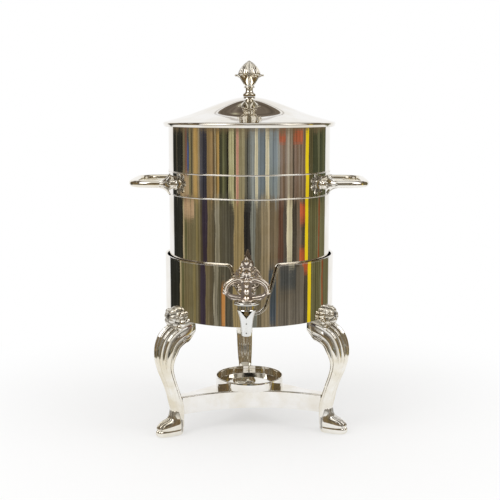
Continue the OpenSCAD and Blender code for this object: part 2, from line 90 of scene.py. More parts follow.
def mirror_silver(name, tint, rough, wave, lines_up, lines_round, tarnish, oxide_and_shade_colour=None):
    """Silver plate: rough is its least and most roughness, wave the height of its waves."""
    material, tree, shader, place = new_finish(name, 1.0)
    lines = add_node(tree, "Mapping", {"Vector": place, "Scale": (lines_round, lines_round, lines_up)})
    polish = add_noise(tree, lines.outputs["Vector"], 1.0, 3.0)
    cloud = add_noise(tree, place, 24.0, 5.0, Roughness=0.6)
    # colour: plated silver, with a little warm tarnish in drifts
    warm = [t * (1 - tarnish * k) for t, k in zip(tint, (1.0, 1.3, 2.0))]
    colour = add_ramp(tree, cloud, warm, tint, 0.36, 0.60)
    # gloss: buffing lines and faint cloudy marks
    both = add_node(tree, "Mix", {0: 0.5, 2: polish, 3: cloud}).outputs[0]
    gloss = map_range(both, 0.35, 0.65, *rough)
    if oxide_and_shade_colour:
        # dark oxide left in the hollows of a casting, and painted shade in its crevices, under its edges and
        # on the key's plate, both darker and less metallic; and chased leaves left softer than the rest
        oxide_and_shade_share = add_node(tree, "Attribute", attribute_name="hollow").outputs["Fac"]
        colour = add_node(tree, "Mix", {0: oxide_and_shade_share, 6: colour, 7: oxide_and_shade_colour}, data_type="RGBA").outputs[2]
        bare = add_node(tree, "Math", {0: oxide_and_shade_share, 1: -0.8, 2: 1.0}, operation="MULTIPLY_ADD")
        tree.links.new(bare.outputs["Value"], shader.inputs["Metallic"])
        leaf = add_node(tree, "Attribute", attribute_name="chased").outputs["Fac"]
        gloss = add_node(tree, "Math", {0: gloss, 1: leaf}, operation="ADD").outputs["Value"]
    # relief: slight waves in the metal under the lines of the buffing wheel
    waves = add_noise(tree, place, 30.0, 1.0)
    sheet = add_node(tree, "Bump", {"Height": waves, "Distance": wave}).outputs["Normal"]
    scratch = add_node(tree, "Bump", {"Height": polish, "Distance": 0.000004, "Normal": sheet})
    tree.links.new(colour, shader.inputs["Base Color"])
    tree.links.new(gloss, shader.inputs["Roughness"])
    tree.links.new(scratch.outputs["Normal"], shader.inputs["Normal"])
    return material


def pick(obj):
    """Selects one piece and nothing else."""
    bpy.ops.object.select_all(action="DESELECT")
    bpy.context.view_layer.objects.active = obj
    obj.select_set(True)


def finish_piece(obj, material, body, slot, *nodes, angle=38):
    """Shades the piece, gives it its metal, and sets it in place of its CAD nodes."""
    obj.data.materials.clear()
    obj.data.materials.append(material)
    pick(obj)
    bpy.ops.object.shade_smooth_by_angle(angle=math.radians(angle))
    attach(obj, body)
    if nodes:
        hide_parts(*nodes)


def add_modifier(obj, kind, **settings):
    pick(obj)
    mod = obj.modifiers.new(kind.lower(), kind)
    for key, value in settings.items():
        setattr(mod, key, value)
    bpy.ops.object.modifier_apply(modifier=mod.name)


def turn_faces_out(obj):
    pick(obj)
    bpy.ops.object.mode_set(mode="EDIT")
    bpy.ops.mesh.select_all(action="SELECT")
    bpy.ops.mesh.normals_make_consistent(inside=False)
    bpy.ops.object.mode_set(mode="OBJECT")


def round_turns(count):
    """Angles once round a section, in radians."""
    return [2 * math.pi * j / count for j in range(count)]


def bar_ring(middle, side, up, radius, tall, count):
    """The points round a bar at one place along it."""
    return [middle + side * (radius * math.cos(a)) + up * (tall * math.sin(a)) for a in round_turns(count)]


def skin(name, rings, ends=True, loop=False):
    """A skin over rings of equally many points, its ends filled, or the last joined to the first."""
    n = len(rings[0])
    faces = []
    for k in range(len(rings) - (not loop)):
        here, there = k * n, (k + 1) % len(rings) * n
        faces += [(here + j, here + (j + 1) % n, there + (j + 1) % n, there + j) for j in range(n)]
    if ends and not loop:
        last = (len(rings) - 1) * n
        faces += [tuple(range(n - 1, -1, -1)), tuple(range(last, last + n))]
    mesh = bpy.data.meshes.new(name)
    mesh.from_pydata([p for ring in rings for p in ring], [], faces)
    obj = bpy.data.objects.new(name, mesh)
    bpy.context.collection.objects.link(obj)
    return obj


sheet_silver = mirror_silver("sheet_silver", (0.90, 0.885, 0.86), (0.012, 0.06), 0.00010, 500.0, 12.0, 0.10)
jacket_out, jacket_wall, jacket_low, jacket_tall = 0.1138, 0.0015, 0.156, 0.0795
stand_turn = math.radians(4.6)


def jacket_height(x):
    """Height of the jacket's upper edge at a distance x from the notch's middle."""
    foot_r, foot_middle = 0.0168, 0.0345                # the notch's round foot
    side_x, side_low, lean = 0.01611, 0.0299, 0.286     # its straight sides
    corner_r, corner_x = 0.007, 0.03555                 # the round corners at its mouth
    x = abs(x)
    if x < foot_r * 0.96:
        return foot_middle - math.sqrt(max(foot_r ** 2 - x ** 2, 0))
    if x >= corner_x:
        return jacket_tall
    corner = jacket_tall - corner_r + math.sqrt(max(corner_r ** 2 - (corner_x - x) ** 2, 0))
    return min(side_low + (x - side_x) / lean, corner)


# close rows keep the sheet true up to its edges, and closer columns at the notch
rows_up = (0, 0.007, 0.013, 0.05, 0.2, 0.35, 0.5, 0.65, 0.8, 0.95, 0.987, 0.993, 1)
bpy.ops.object.select_all(action="DESELECT")
bpy.ops.mesh.primitive_grid_add(x_subdivisions=420, y_subdivisions=len(rows_up) - 1, size=2)
jacket = bpy.context.object
jacket.name = "jacket_sleeve"
edge = []
for v in jacket.data.vertices:
    at_edge = v.co.y > 0.999
    u, t = v.co.x, rows_up[round(6 * (v.co.y + 1))]
    turn = math.pi * (0.35 * u + 0.65 * u ** 3) if abs(u) < 1 else math.pi * u
    tall = jacket_height(jacket_out * math.sin(turn)) if abs(turn) < 1 else jacket_tall
    turn += stand_turn
    v.co = (jacket_out * math.sin(turn), -jacket_out * math.cos(turn), jacket_low + t * tall)
    if at_edge:
        edge.append((u, v.co.copy()))
add_modifier(jacket, "WELD", merge_threshold=0.00001)
turn_faces_out(jacket)
add_modifier(jacket, "SOLIDIFY", thickness=jacket_wall, offset=-1)
add_modifier(jacket, "BEVEL", width=0.0005, segments=3, limit_method="ANGLE", angle_limit=math.radians(50))
finish_piece(jacket, sheet_silver, "stand", "silver_plate", "jacket")
# the hem, all round and down through the notch
hem_r = 0.0015
edge = [co for u, co in sorted(edge, key=lambda e: e[0])][:-1]
rings = []
for i, co in enumerate(edge):
    along = (edge[(i + 1) % len(edge)] - edge[i - 1]).normalized()
    out = mathutils.Vector((co.x, co.y, 0)).normalized()
    above = along.cross(out)
    above = above if above.z > 0 or abs(above.z) < 0.001 else -above
    middle = co - out * hem_r * 0.95 - above * hem_r * 0.9
    rings.append(bar_ring(middle, out, above, hem_r, hem_r, 14))
hem = skin("jacket_hem", rings, loop=True)
turn_faces_out(hem)
finish_piece(hem, sheet_silver, "stand", "silver_plate", angle=80)

# ---------------------------------------------------------------- ledge and screws
# The brass ledge soldered inside the jacket, tinned and dull, and the turned steel
# screws that hold the ledge to the legs and the platform's arms to the ankles.
def dull_metal(name, tint, rough, grain=260.0):
    """A metal left as it was turned or tinned, finely specked."""
    material, tree, shader, place = new_finish(name, 1.0)
    speck = add_noise(tree, place, grain, 6.0)
    shade = add_ramp(tree, speck, [0.75 * t for t in tint], tint, 0.3, 0.7)
    bump = add_node(tree, "Bump", {"Height": speck, "Distance": 0.00002})
    tree.links.new(shade, shader.inputs["Base Color"])
    tree.links.new(map_range(speck, 0.0, 1.0, rough * 0.75, rough * 1.3), shader.inputs["Roughness"])
    tree.links.new(bump.outputs["Normal"], shader.inputs["Normal"])
    return material


def finish_node(material, *names):
    for name in names:
        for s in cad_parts[name].material_slots:
            s.material = material


tinned = dull_metal("tinned_inside", (0.74, 0.72, 0.68), 0.32)
screw_steel = dull_metal("turned_steel", (0.62, 0.60, 0.57), 0.26, 600.0)
finish_node(tinned, "jacket_ledge")
finish_node(screw_steel, "ledge_screws", "platform_screws", "fuel_cup_screw")

# ---------------------------------------------------------------- legs
# Three cast legs, silver plated: a paw with toes on a flat sole, a slim ankle, a fluted
# knee, and a leafy ball with curled lobes beside it, screwed up against the jacket.
def join_pieces(name, *parts):
    pick(parts[0])
    for p in parts:
        p.select_set(True)
    bpy.ops.object.join()
    parts[0].name = name
    return parts[0]


def blended(rows, steps):
    """Rows of numbers, with smooth steps put in between them."""
    out = []
    for k in range((len(rows) - 1) * steps + 1):
        i = min(k // steps, len(rows) - 2)
        t = k / steps - i
        near = zip(rows[max(i - 1, 0)], rows[i], rows[i + 1], rows[min(i + 2, len(rows) - 1)])
        out.append([0.5 * (2 * q + (r - p) * t + (2 * p - 5 * q + 4 * r - w) * t * t
                           + (3 * q - p - 3 * r + w) * t ** 3) for p, q, r, w in near])
    return out


def shares(count):
    """Even steps from 0 to 1."""
    return [k / count for k in range(count + 1)]


def mark(obj, dark_shares=0.0, attribute="hollow"):
    """Writes how dark each point is painted, from 0 to 1, for oxide and painted shade: one number, or a list
    of them.
    """
    layer = obj.data.attributes.new(attribute, "FLOAT", "POINT")
    count = len(obj.data.vertices)
    layer.data.foreach_set("value", dark_shares if isinstance(dark_shares, list) else [dark_shares] * count)


def loft(name, rows, count, point):
    """A skin over rings of count points: point(row, angle) gives a place, and how dark it is painted for
    oxide and shade.
    """
    made = [[point(row, a) for a in round_turns(count)] for row in rows]
    obj = skin(name, [[place for place, dark in ring] for ring in made])
    mark(obj, [dark for ring in made for place, dark in ring])
    return obj


def within(x):
    """Keeps a share between 0 and 1."""
    return max(0.0, min(1.0, x))


def bent(x, power):
    return math.copysign(abs(x) ** power, x)


def from_front(a):
    """An angle round a leg's section as degrees either way from its front."""
    return math.degrees(a if a <= math.pi else a - 2 * math.pi)


def reeds(bend, pitch):
    return (0.5 + 0.5 * math.cos(2 * math.pi * bend / pitch)) ** 0.8


def mm(points, up=0.0):
    """Points typed in mm as metres, raised by up."""
    return [tuple(0.001 * v for v in p[:-1]) + (up + 0.001 * p[-1],) for p in points]


# cast silver: its dark brown is painted into the castings' hollows, as oxide and painted shade
cast_silver = mirror_silver("cast_silver", (0.93, 0.91, 0.86), (0.03, 0.10), 0.0002, 60.0, 60.0, 0.16,
                            (0.055, 0.042, 0.026))
# stations up a leg, in mm: reach, height, half depth, half width, tilt in degrees, flutes' depth
leg_stations = [
    (115.5, 14, 8.4, 8.4, 0, 0.2), (115.5, 30, 8.5, 8.8, 0, 0.5), (118.0, 44, 8.6, 9.6, -8, 0.75),
    (122.0, 60, 8.2, 10.5, -20, 0.85), (127.6, 76, 8.2, 11.2, -20, 0.9), (132.2, 91, 10.0, 11.7, -10, 1.1),
    (133.0, 105, 13.2, 13.2, 7, 1.9), (130.4, 118, 16.0, 14.8, 28, 2.3), (124.6, 129, 17.0, 15.2, 46, 2.4),
    (113.5, 136.5, 17.0, 14.2, 66, 1.9), (101.0, 140.5, 17.0, 11.5, 82, 0.6),
    (94.0, 142.5, 13.5, 9.5, 90, 0.2), (89.0, 143.0, 9.0, 6.5, 90, 0.0)]
flute_pitch, reed_pitch, leg_around = 27, 18, 120         # degrees, degrees, points


def leg_point(station, a):
    reach, height, depth, width, tilt, flute = station
    tilt, c, s, bend = math.radians(tilt), math.cos(a), math.sin(a), from_front(a)
    square = max(0.0, 1 - abs(height - 36) / 22)        # squarer inside, where the platform's arm lands
    # flutes across the front, and fine reeds on the flatter inner face
    ridge = reeds(bend, flute_pitch) * within((132 - abs(bend)) / 22)
    reed = reeds(bend, reed_pitch) * within((abs(bend) - 128) / 12) * within((height - 50) / 12)
    groove = flute * ridge + 0.55 * reed
    out = depth * bent(c, 0.85 if c > 0 else 0.70 - 0.28 * square) - groove * c
    wider = 1 + 0.14 * max(0.0, -c)
    side = width * bent(s, 0.9 - 0.35 * square * (c < 0)) * wider - groove * s
    x, z = reach + out * math.cos(tilt), height + out * math.sin(tilt)
    # the bottoms of the knee's flutes are painted dark: oxide and painted shade
    return (0.001 * x, 0.001 * side, 0.001 * z), 0.62 * ridge ** 7 * within((height - 98) / 14)


shaft = loft("leg", blended(leg_stations, 10), leg_around, leg_point)

# the paw in level slices, in mm: height, heel, toe, half width, depth between the four toes
paw_rows = [
    (0.0, 110.6, 143.0, 9.4, 0.2), (0.5, 109.6, 144.4, 10.3, 0.3), (1.8, 108.6, 145.4, 11.2, 0.5),
    (4.0, 108.0, 145.8, 11.7, 0.7), (6.4, 107.6, 145.5, 11.7, 0.9), (7.8, 107.6, 144.4, 11.3, 1.4),
    (8.6, 107.5, 144.0, 11.1, 1.9), (9.6, 107.2, 144.8, 11.5, 2.4), (11.4, 106.9, 144.9, 11.7, 3.0),
    (13.6, 106.6, 143.8, 11.7, 3.6), (15.8, 106.4, 141.6, 11.4, 3.9), (17.6, 106.3, 138.6, 11.0, 3.7),
    (19.0, 106.2, 135.0, 10.6, 3.0), (20.2, 106.1, 131.0, 10.3, 2.0), (22.0, 106.1, 127.8, 9.9, 1.2),
    (25.0, 106.1, 125.9, 9.5, 0.8), (29.5, 106.4, 124.8, 9.1, 0.5), (32.0, 106.8, 124.2, 8.7, 0.3),
    (33.2, 107.4, 123.4, 8.0, 0.2)]


def paw_point(level, a):
    height, heel, toe, wide, gap = level
    c, s, bend, centre = math.cos(a), math.sin(a), abs(from_front(a)), 118.5
    splay = 1 + 0.07 * max(0.0, c) * within((17 - height) / 8)
    side = wide * bent(s, 0.85) * splay
    if c > 0:
        out = (toe - centre) * c ** 0.85
    else:
        out = -(centre - heel) * abs(c) ** (0.95 - 0.25 * min(1.0, height / 30))
    # the gaps between the toes, painted dark as shade above the sole
    split, front = 0.0, max(0.0, c) ** 0.4
    if abs(side / wide) < 0.9:
        split = front * max(0.0, 1 - abs(math.sin(2 * math.pi * side / wide * 0.97)) / 0.75) ** 1.5
    out -= gap * split
    # a crease that runs down round the heel, painted dark inside as shade
    crease = math.exp(-((bend - 128 + 0.7 * height) / 15) ** 2) * within((height - 2.5) / 3)
    out, side = out * (1 - 0.10 * crease), side * (1 - 0.10 * crease)
    dark = 0.95 * split * within((height - 7) / 5) + 0.75 * crease ** 2
    # a band of painted shade across the top of the ankle, where the shank meets the paw
    dark += 0.45 * math.exp(-((height - 30) / 4.5) ** 2)
    return (0.001 * (centre + out), 0.001 * side, 0.001 * max(0.0, height)), dark


paw = loft("paw", blended(paw_rows, 5), leg_around, paw_point)

# the leafy ball: rows of plump petals round a deep eye that looks out and a little up
bpy.ops.object.select_all(action="DESELECT")
bpy.ops.mesh.primitive_uv_sphere_add(segments=168, ring_count=84, radius=1)
ball = bpy.context.object
ball_r, petal_chase = 12.5, 0.26
tip = mathutils.Matrix.Rotation(math.radians(76), 3, "Y")
middle = mathutils.Vector((0.1150, 0, 0.1580))
# each row: from and to in degrees off the eye, how many petals, turned by, how plump in mm
petal_rows = ((17, 62, 4, 0.3, 3.0), (57, 108, 5, 0.75, 2.9), (101, 140, 6, 0.1, 2.2))
dark = []
for v in ball.data.vertices:
    x, y, z = v.co
    polar = math.degrees(math.acos(max(-1, min(1, z))))
    turn = math.atan2(y, x)
    rise = 0.0
    for start, end, petals, by, plump in petal_rows:
        if start < polar < end:
            along = (polar - start) / (end - start)
            across = abs(math.cos(0.5 * petals * (turn + by)))
            long_way = max(0.0, 1 - abs(2 * along ** 0.85 - 1) ** 2.6)
            swell = (long_way * max(0.0, 1 - (1 - across) ** 2.2 * 1.12)) ** 0.55
            crease = 1 - 0.10 * math.exp(-((1 - across) / 0.02) ** 2)
            rise = max(rise, plump * swell * crease)
    size = ball_r + rise - 4.5 * math.exp(-(polar / 12) ** 2)
    # painted shade: darker between the petals and in the eye, and a little darker all over
    dark.append(max(0.12, 1 - rise / 2.2))
    v.co = middle + tip @ (mathutils.Vector((x, y * 1.04, z * 0.98)) * size * 0.001)
mark(ball, dark)
mark(ball, petal_chase, "chased")


def scroll_lobe(centre, radius, thick, lean, hand):
    """A curled leaf: a tube that winds in to its own eye, flat against the jacket."""
    def point(t, b):
        a = hand * (lean + 2 * math.pi * 0.95 * t)
        w = thick * (0.55 + 0.75 * math.sin(math.pi * min(1, t * 1.15)) * (1 - 0.55 * t))
        reach = radius * (1 - 0.86 * t) + w * math.cos(b)
        local = (w * math.sin(b) + 0.4 * thick * t, reach * math.cos(a), reach * math.sin(a))
        return [0.001 * (p + q) for p, q in zip(centre, local)], 0.0
    return loft("lobe", shares(46), 12, point)


lobes = []
for side in (-1, 1):
    lobes.append(scroll_lobe((115.2, side * 17.6, 163.0), 3.2, 3.3, 0.6, side))
    lobes.append(scroll_lobe((116.2, side * 19.0, 154.2), 3.4, 3.5, 3.8, side))
    lobes.append(scroll_lobe((117.5, side * 13.5, 146.6), 2.9, 2.9, 5.2, side))
leg = join_pieces("leg_casting", shaft, paw, ball, *lobes)
turn_faces_out(leg)


def turned_copy(casting, name, azimuth):
    """A copy of a casting with its own mesh, turned round the pot's axis."""
    copy = bpy.data.objects.new(name, casting.data.copy())
    copy.data.transform(mathutils.Matrix.Rotation(azimuth, 4, "Z"))
    bpy.context.collection.objects.link(copy)
    return copy


for node, azimuth in (("leg_front_left", 214.6), ("leg_front_right", 334.6), ("leg_rear", 94.6)):
    one = turned_copy(leg, node + "_casting", math.radians(azimuth))
    finish_piece(one, cast_silver, "stand", "silver_plate", node, angle=60)
bpy.data.objects.remove(leg)

# ---------------------------------------------------------------- platform and fuel cup
# A pressed plate with three hollow sides and a skirt, its corners rounded by the
# press, and the turned cup for the fuel can, screwed down through its middle.
def add_lathe(name, profile, segments=192):
    """A turned piece: a circle drawn out along its profile of radii and heights, in metres."""
    bpy.ops.object.select_all(action="DESELECT")
    radius, height = profile[0]
    bpy.ops.mesh.primitive_circle_add(vertices=segments, radius=radius, location=(0, 0, height))
    obj = bpy.context.object
    obj.name = name
    bpy.ops.object.transform_apply(location=True)
    bpy.ops.object.mode_set(mode="EDIT")
    bpy.ops.mesh.select_all(action="SELECT")
    for r, h in profile[1:]:
        bpy.ops.mesh.extrude_edges_move(TRANSFORM_OT_translate={"value": (0, 0, h - height)})
        bpy.ops.transform.resize(value=(r / radius, r / radius, 1), center_override=(0, 0, h))
        radius, height = r, h
    bpy.ops.mesh.select_all(action="SELECT")
    bpy.ops.mesh.remove_doubles(threshold=0.000004)
    bpy.ops.mesh.normals_make_consistent(inside=False)
    bpy.ops.object.mode_set(mode="OBJECT")
    return obj


def rounded(corners, radius):
    """A closed profile with each of its corners eased by a small radius."""
    out = []
    for i, q in enumerate(corners):
        p, r = corners[i - 1], corners[(i + 1) % len(corners)]
        a, b = (p[0] - q[0], p[1] - q[1]), (r[0] - q[0], r[1] - q[1])
        la, lb = math.hypot(*a), math.hypot(*b)
        cut = min(radius, la / 2.01, lb / 2.01)
        for t in (0, 1 / 3, 2 / 3, 1):
            near, far = (1 - t) ** 2 / la, t ** 2 / lb
            out.append((q[0] + cut * (a[0] * near + b[0] * far), q[1] + cut * (a[1] * near + b[1] * far)))
    return out + [out[0]]


platform_low, platform_top, platform_wall = 0.027, 0.051, 0.002
arm_r, middle_r = 0.1105, 0.0375            # from the axis to an arm's end, and to the middle of a side
sides_at = (34.6, 154.6, 274.6)             # where the middles of the three sides are, in degrees
arm_x, arm_y = arm_r * math.sin(math.radians(60)) - 0.0043, arm_r * math.cos(math.radians(60)) + 0.0074
side_r = (arm_x ** 2 + (arm_y - middle_r) ** 2) / (2 * (arm_y - middle_r))


def platform_reach(azimuth):
    """How far the platform's edge is from the axis in a direction."""
    best, far = arm_r, middle_r + side_r
    for side_at in sides_at:
        c = math.cos(azimuth - math.radians(side_at))
        root = (far * c) ** 2 - far ** 2 + side_r ** 2
        if root > 0 and c > 0:
            best = min(best, far * c - math.sqrt(root))
    return best


# close steps along each side, and three across each arm's end
turns = sorted(math.radians(at + by) for at in sides_at
               for by in [57.8 * (k / 40) for k in range(-40, 41)] + [58.9, 60, 61.1])
edge = [(platform_reach(a) * math.cos(a), platform_reach(a) * math.sin(a)) for a in turns]


def platform_ring(inset, height):
    ring = []
    for i, (x, y) in enumerate(edge):
        p, q = edge[i - 1], edge[(i + 1) % len(edge)]
        dx, dy = q[0] - p[0], q[1] - p[1]
        long = math.hypot(dx, dy)
        ring.append((x - inset * dy / long, y + inset * dx / long, height))
    return ring


def shrunk(ring, share, height):
    return [(x * share, y * share, height) for x, y, z in ring]


press_r, screw_r, under = 0.0016, 0.0026, platform_top - platform_wall
rings = [platform_ring(0, platform_low), platform_ring(0, platform_low + 0.0004)]
rings += [platform_ring(press_r * (1 - math.cos(a)), platform_top - press_r * (1 - math.sin(a)))
          for a in (0, 0.26, 0.52, 0.79, 1.05, 1.31, math.pi / 2)]
rings += [shrunk(rings[-1], k, platform_top) for k in (0.8, 0.5, 0.25)]
hole = [(screw_r * math.cos(a), screw_r * math.sin(a), platform_top) for a in turns]
rings += [hole, shrunk(hole, 1, under)]
rings += [shrunk(platform_ring(platform_wall, under), k, under) for k in (0.25, 0.5, 0.8, 0.995)]
rings += [platform_ring(platform_wall, under - 0.0008), platform_ring(platform_wall, platform_low), rings[0]]
platform = skin("platform_pressing", rings, ends=False)
add_modifier(platform, "WELD", merge_threshold=0.000002)
turn_faces_out(platform)
finish_piece(platform, sheet_silver, "stand", "silver_plate", "platform", "platform_skirt", angle=40)

cup_in, cup_out, cup_hole, countersink = 0.045, 0.0465, 0.0027, 0.0042      # radii
cup_low, cup_floor, cup_top = 0.051, 0.0525, 0.063
cup = add_lathe("fuel_cup_ring", rounded([
    (cup_hole, cup_low), (cup_out, cup_low), (cup_out, cup_top), (cup_in, cup_top), (cup_in, cup_floor),
    (countersink, cup_floor)], 0.0006))
finish_piece(cup, sheet_silver, "stand", "silver_plate", "fuel_cup")
brass = dull_metal("turned_brass", (0.80, 0.62, 0.34), 0.22, 500.0)
finish_node(brass, "fuel_cup_nut")

# ---------------------------------------------------------------- urn
# The round urn: a rolled and spun sheet wall with a tinned floor and foot ring inside,
# and a plain band soldered round it, edged above and below by a fine half-round bead.
finish_node(sheet_silver, "urn_shell", "handle_band")
finish_node(tinned, "urn_floor", "urn_foot")
band_low, band_high, bead_in, bead_out, bead_tall = 0.318, 0.3465, 0.1080, 0.1091, 0.0016
beads = []
for low in (band_low - bead_tall, band_high):
    half = bead_tall / 2
    face = [(bead_out - half * 0.7 * (1 - math.cos(a)), low + half + half * math.sin(a))
            for a in (-1.45, -1.1, -0.75, -0.4, 0, 0.4, 0.75, 1.1, 1.45)]
    section = [(bead_in, low), *face, (bead_in, low + bead_tall), (bead_in, low)]
    beads.append(add_lathe("bead", section, 288))
beads = join_pieces("band_beading", *beads)
finish_piece(beads, sheet_silver, "urn", "silver_plate", "band_beads", angle=60)

# ---------------------------------------------------------------- handles
# Two level loops of cast round bar. Near the urn each arm carries a bead and a collar
# of pointed leaves that flare towards it; screws hold the arms from inside the urn.
def bar_along(name, path, radii, around=40):
    """A round bar that follows a path, with a radius at each of its points."""
    path, rings = [mathutils.Vector(p) for p in path], []
    for i, (p, radius) in enumerate(zip(path, radii)):
        along = (path[min(i + 1, len(path) - 1)] - path[max(i - 1, 0)]).normalized()
        side = along.cross(mathutils.Vector((0, 0, 1))).normalized()
        rings.append(bar_ring(p, side, side.cross(along), radius, radius, around))
    obj = skin(name, rings)
    mark(obj)
    return obj


handle_z, handle_half, handle_far, bar_r, bend_r = 0.33225, 0.057, 0.158, 0.0047, 0.026
foot_x = math.sqrt(0.1086 ** 2 - handle_half ** 2)      # where an arm meets the band
arm_end = handle_far - bar_r - bend_r
path = [(foot_x - 0.0004, -handle_half, handle_z), (foot_x + 0.0008, -handle_half, handle_z)]
path += [(x, -handle_half, handle_z) for x in [0.0935 + 0.0034 * k for k in range(10)] if x < arm_end - 0.001]
path += [(arm_end + bend_r * math.sin(a), -handle_half + bend_r * (1 - math.cos(a)), handle_z)
         for a in [math.pi / 2 * k / 14 for k in range(15)]]
path += [(handle_far - bar_r, (bend_r - handle_half) * (1 - t), handle_z) for t in shares(6)[1:]]
path += [(x, -y, z) for x, y, z in reversed(path[:-1])]
# the bar swells a little at the middle of the grip
bar = bar_along("bar", path, [bar_r * (1 + 0.05 * math.cos(math.pi * y / handle_half)) for x, y, z in path])


def leaf_collar(x0, x1, y, r0, r1, leaves):
    """A collar of pointed leaves round the arm, wide towards the urn at x0."""
    def point(row, a):
        t, share, dx = row
        rim = abs(math.cos(0.5 * leaves * a))                           # 1 at a leaf's middle
        curl = 0.0016 * math.exp(-(t / 0.14) ** 2) * rim
        gap = (1 - rim) ** 2 * (1 - 0.7 * t)
        r = share * (r0 + (r1 - r0) * (1 - (1 - t) ** 1.7) + curl - 0.0042 * gap)
        x = x0 + (x1 - x0) * t + 0.0048 * (1 - rim) * (1 - t) ** 1.5 + dx
        return (x, y + r * math.cos(a), handle_z + r * math.sin(a)), 0.5 if dx else min(1.0, gap * 0.7)
    # first the hollow back of the leaves, in towards the arm, painted half dark as shade; the gaps between
    # the leaves are painted dark as shade too
    back = [(0, 0.45, 0.0030), (0, 0.75, 0.0012)]
    return loft("collar", back + [(t, 1, 0) for t in shares(16)], leaves * 16, point)


handle_parts = [bar]
for side in (-1, 1):
    y = side * handle_half
    bead_path = [(0.0945 + 0.0095 * t, y, handle_z) for t in shares(16)]
    bead_r = [0.0044 + 0.0016 * max(0.0, math.sin(math.pi * t)) ** 0.8 for t in shares(16)]
    foot_path = [(foot_x - 0.0006 + 0.0052 * k / 6, y, handle_z) for k in range(7)]
    handle_parts += [leaf_collar(0.1010, 0.1150, y, 0.0126, 0.0050, 7), bar_along("bead", bead_path, bead_r),
                     bar_along("foot", foot_path, [0.0060, 0.0060, 0.0056, 0.0051, 0.0047, 0.0045, 0.0044])]
handle = join_pieces("handle", *handle_parts)
turn_faces_out(handle)
for node, half_turn in (("handle_right", 0), ("handle_left", math.pi)):
    one = turned_copy(handle, node + "_loop", half_turn)
    finish_piece(one, cast_silver, "urn", "silver_plate", node, angle=50)
bpy.data.objects.remove(handle)
finish_node(screw_steel, "handle_screws", "handle_washers", "spigot_washer")

# ---------------------------------------------------------------- spigot
# A cast and turned tap: its shank passes through the wall between two rubber gaskets, a
# flange bears on the wall, and the tapered barrel has a V notch in front of the plug.
def set_at(obj, place, tip=0.0):
    """Tips a turned piece towards the front, then sets its middle in its place."""
    obj.data.transform(mathutils.Matrix.Translation(place) @ mathutils.Matrix.Rotation(tip, 4, "X"))


tap_silver = mirror_silver("tap_silver", (0.84, 0.855, 0.865), (0.05, 0.14), 0.0002, 60.0, 60.0, 0.06,
                           (0.055, 0.045, 0.035))
plug_y, level = -0.1395, math.pi / 2
tap_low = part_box("spigot_body")[0][2]
tap = add_lathe("tap", mm([
    (5.3, 0), (5.65, 0.3), (6.2, 6), (7.6, 15), (9.2, 24), (10.6, 29.6), (11.6, 32.4), (11.8, 33.0),
    (11.6, 33.5), (11.1, 34.0), (11.0, 35.0), (11.0, 40.3), (11.2, 40.5), (15.6, 40.5), (15.9, 40.8),
    (16.0, 41.8), (15.8, 42.8), (15.2, 43.3), (14.0, 43.5), (7.0, 43.5), (6.6, 43.2), (5.85, 33.5),
    (4.0, 33.5), (4.0, 31.0), (9.4, 31.0), (7.8, 24), (6.2, 15), (4.6, 5), (4.3, 0), (5.3, 0)], tap_low))
set_at(tap, (0, plug_y, 0))
notch_front, notch_mouth, notch_half, notch_point = -0.1650, 0.0329, 0.0076, 0.0232
notch = skin("notch", [[(-notch_half, y, tap_low + notch_mouth), (0, y, tap_low + notch_point),
                        (notch_half, y, tap_low + notch_mouth)] for y in (plug_y, notch_front)])
turn_faces_out(notch)
add_modifier(tap, "BOOLEAN", operation="DIFFERENCE", solver="EXACT", object=notch)
bpy.data.objects.remove(notch)
mark(tap)
# the shank, with its flange and neck, heights here being distances out from the axis
pipe = add_lathe("pipe", mm([
    (2.5, 91), (7.0, 91), (7.0, 109.5), (9.7, 109.5), (10.0, 109.8), (10.0, 110.9), (9.4, 111.3),
    (6.0, 111.6), (4.8, 112.6), (4.5, 114), (4.5, 131.5), (2.5, 131.5), (2.5, 91)]), 96)
set_at(pipe, (0, 0, tap_low + 0.0385), level)
mark(pipe)
tap_parts = [tap, pipe]
for height, reach in ((0.0166, 0.0079), (0.0044, 0.0060)):
    pin = add_lathe("pin", mm([(0.01, 0.6), (0.6, 0.5), (0.9, 0.2), (1.0, -1.2), (0.01, -1.2)]), 24)
    set_at(pin, (0, plug_y - reach, tap_low + height), level)
    mark(pin, 0.8)
    tap_parts.append(pin)
tap = join_pieces("spigot_tap", *tap_parts)
turn_faces_out(tap)
finish_piece(tap, tap_silver, "urn", "silver_plate", "spigot_body", angle=40)
rubber, tree, shader, place = new_finish("black_rubber", 0.0)
shade = add_ramp(tree, add_noise(tree, place, 900, 2.0), (0.012, 0.012, 0.012), (0.035, 0.034, 0.033))
tree.links.new(shade, shader.inputs["Base Color"])
shader.inputs["Roughness"].default_value = 0.6
finish_node(rubber, "spigot_outer_gasket", "spigot_inner_gasket")

